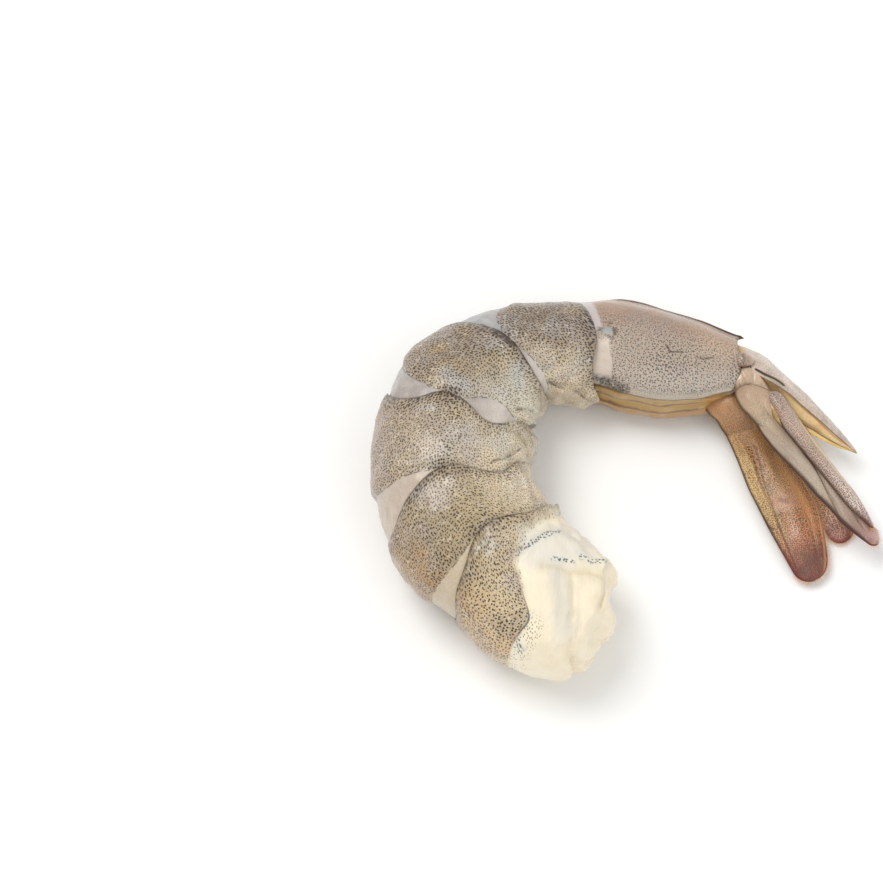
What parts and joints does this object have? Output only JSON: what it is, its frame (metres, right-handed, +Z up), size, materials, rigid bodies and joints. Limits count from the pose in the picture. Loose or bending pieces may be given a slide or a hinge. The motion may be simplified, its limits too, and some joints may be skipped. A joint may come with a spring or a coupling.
{
  "type": "raw tiger prawn",
  "caption": "Raw headless prawn, peeled except for its last shell and tail fan, curled and lying on its side.",
  "frame": {"origin": "middle of the prawn's outline seen from above, on the surface that it rests on", "axes": "+Z up, out of the prawn's left side; +X from the back of the curl towards the tail fan; +Y from the cut end towards the last shell"},
  "size_m": [0.07, 0.0554, 0.0194],
  "materials": {
    "peeled_muscle": "wet raw flesh under a thin skin with fine dark spots",
    "last_shell": "wet, thin grey-brown shell with fine dark spots",
    "telson": "wet, yellow-brown and slightly clear",
    "tail_base": "wet tan shell",
    "tail_plate": "wet brown shell with a red-brown margin"
  },
  "bodies": {
    "root": {"peeled_muscle": "peeled_muscle", "last_shell": "last_shell", "telson": "telson", "left_tail_base": "tail_base", "right_tail_base": "tail_base", "right_exopod": "tail_plate", "right_endopod": "tail_plate", "left_exopod": "tail_plate", "left_endopod": "tail_plate"}
  },
  "joints": []
}
